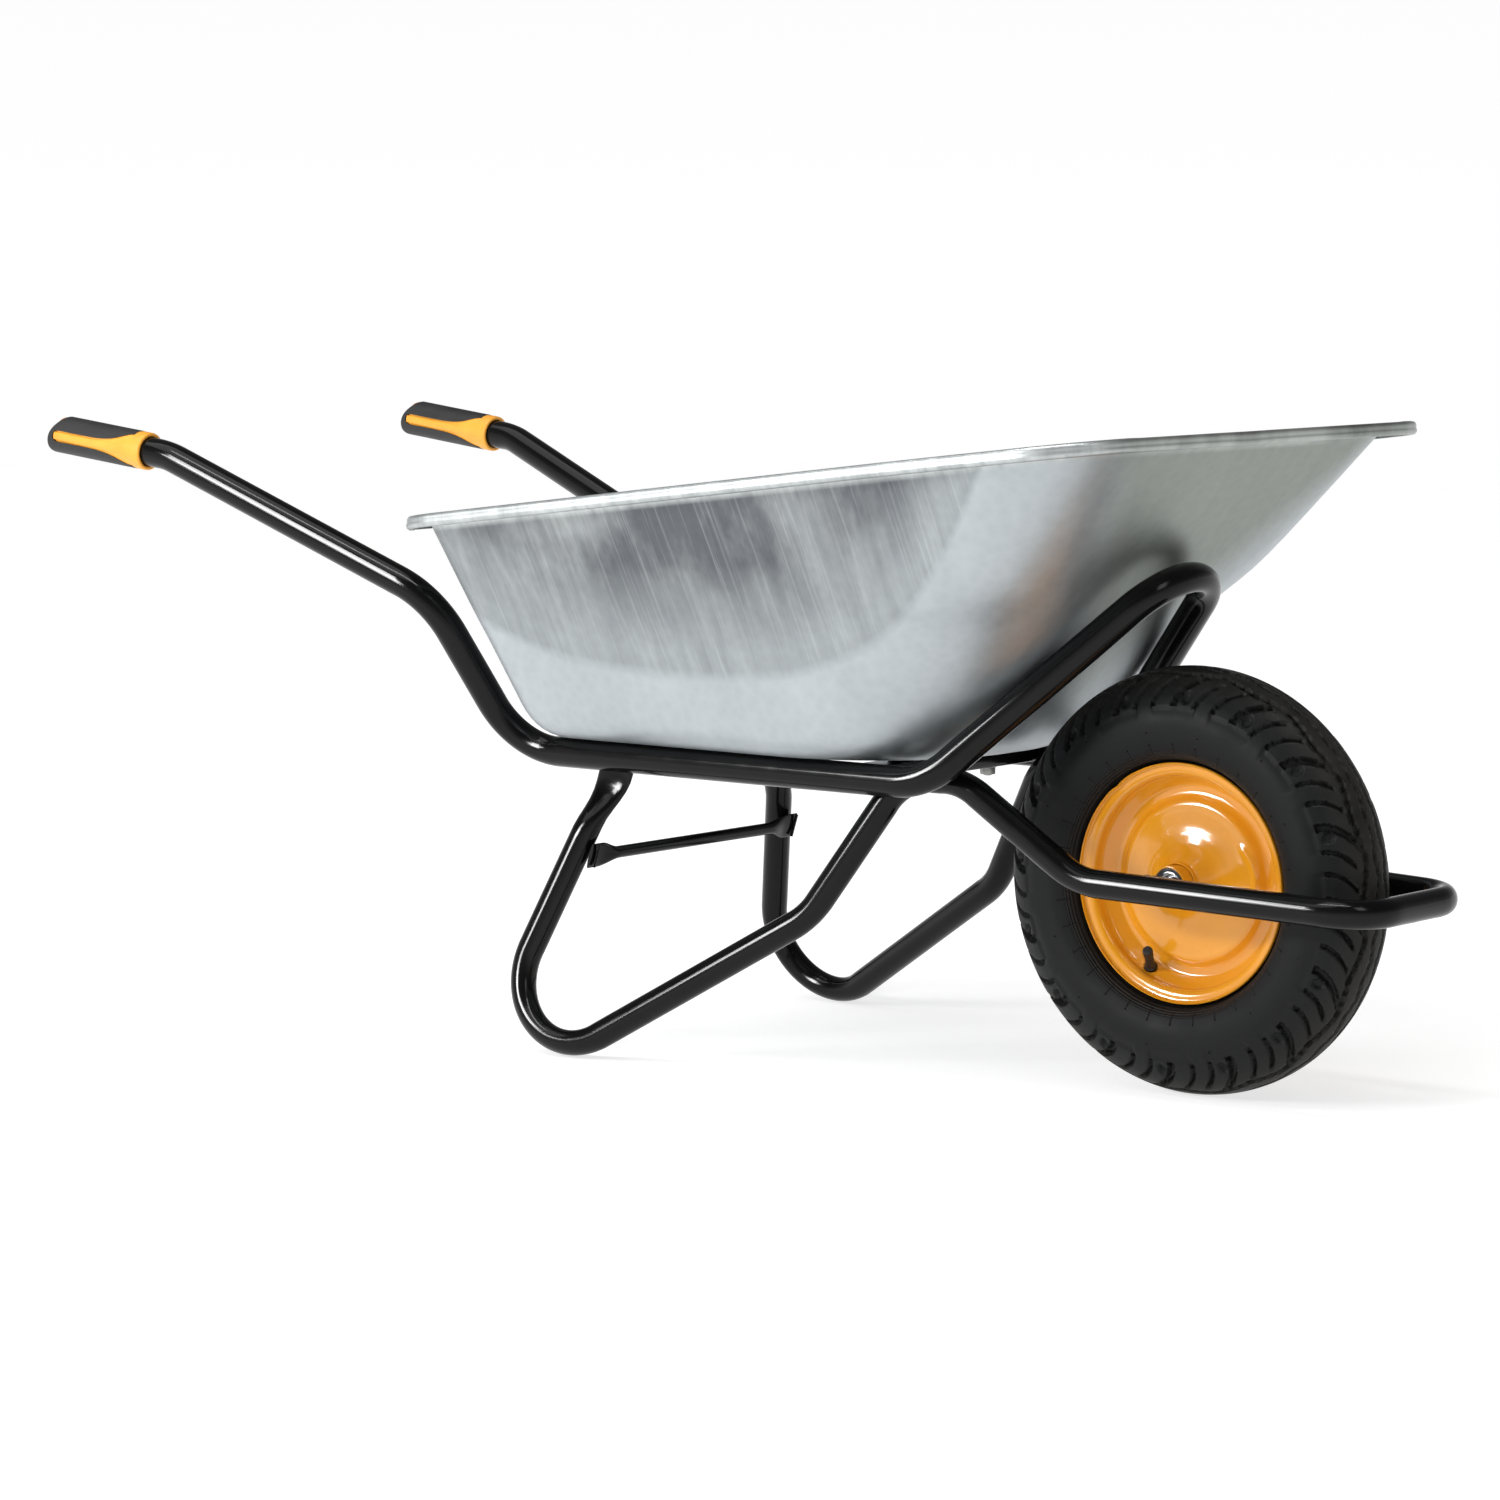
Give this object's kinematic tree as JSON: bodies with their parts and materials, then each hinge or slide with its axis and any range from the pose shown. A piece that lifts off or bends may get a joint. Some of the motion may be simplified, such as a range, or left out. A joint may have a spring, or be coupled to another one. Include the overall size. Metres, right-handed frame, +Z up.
{
  "type": "wheelbarrow",
  "caption": "Builder's wheelbarrow: galvanised steel tray on a bent black tube frame with two grips, a pneumatic wheel on ball bearings and a front loop.",
  "frame": {"origin": "on the ground under the middle of the overall length and width, wheel and legs standing on Z = 0", "axes": "+X forward from the grips towards the wheel, +Y to the user's left, +Z up"},
  "size_m": [1.4819, 0.6096, 0.6201],
  "materials": {
    "black_enamel": "gloss",
    "galvanised": "galvanised satin",
    "zinc_fastener": "zinc plated",
    "bright_steel": "ground",
    "orange_enamel": "gloss",
    "tyre_rubber": "matte",
    "tube_rubber": "matte",
    "grip_rubber": "matte",
    "grip_plastic": "satin"
  },
  "bodies": {
    "frame": {"upper_frame_tube": "black_enamel", "lower_frame_tube": "black_enamel", "leg_brace": "black_enamel", "front_cross_bar": "black_enamel", "rear_cross_bar": "black_enamel", "tray": "galvanised", "tray_bolt_front_left": "zinc_fastener", "tray_bolt_front_right": "zinc_fastener", "tray_bolt_rear_left": "zinc_fastener", "tray_bolt_rear_right": "zinc_fastener", "tray_washer_front_left": "zinc_fastener", "tray_washer_front_right": "zinc_fastener", "tray_washer_rear_left": "zinc_fastener", "tray_washer_rear_right": "zinc_fastener", "tray_nut_front_left": "zinc_fastener", "tray_nut_front_right": "zinc_fastener", "tray_nut_rear_left": "zinc_fastener", "tray_nut_rear_right": "zinc_fastener", "axle": "bright_steel", "axle_boss_left": "black_enamel", "axle_boss_right": "black_enamel", "axle_nut_left": "zinc_fastener", "axle_nut_right": "zinc_fastener", "axle_washer_left": "zinc_fastener", "axle_washer_right": "zinc_fastener", "axle_spacer_left": "black_enamel", "axle_spacer_right": "black_enamel", "bearing_inner_left": "bright_steel", "bearing_inner_right": "bright_steel", "inner_spacer": "bright_steel", "grip_core_left": "grip_plastic", "grip_core_right": "grip_plastic", "grip_sleeve_left": "grip_rubber", "grip_sleeve_right": "grip_rubber"},
    "wheel": {"tyre": "tyre_rubber", "inner_tube": "tube_rubber", "rim_half_left": "orange_enamel", "rim_half_right": "orange_enamel", "hub_tube": "orange_enamel", "bearing_outer_left": "bright_steel", "bearing_outer_right": "bright_steel", "bearing_shield_left": "bright_steel", "bearing_shield_right": "bright_steel", "valve_stem": "tube_rubber", "valve_cap": "tube_rubber"}
  },
  "joints": [
    {"name": "wheel_spin", "type": "hinge", "parent": "frame", "child": "wheel", "pos_m": [0.4963, 0, 0.2], "axis": [0, 1, 0], "continuous": true}
  ]
}
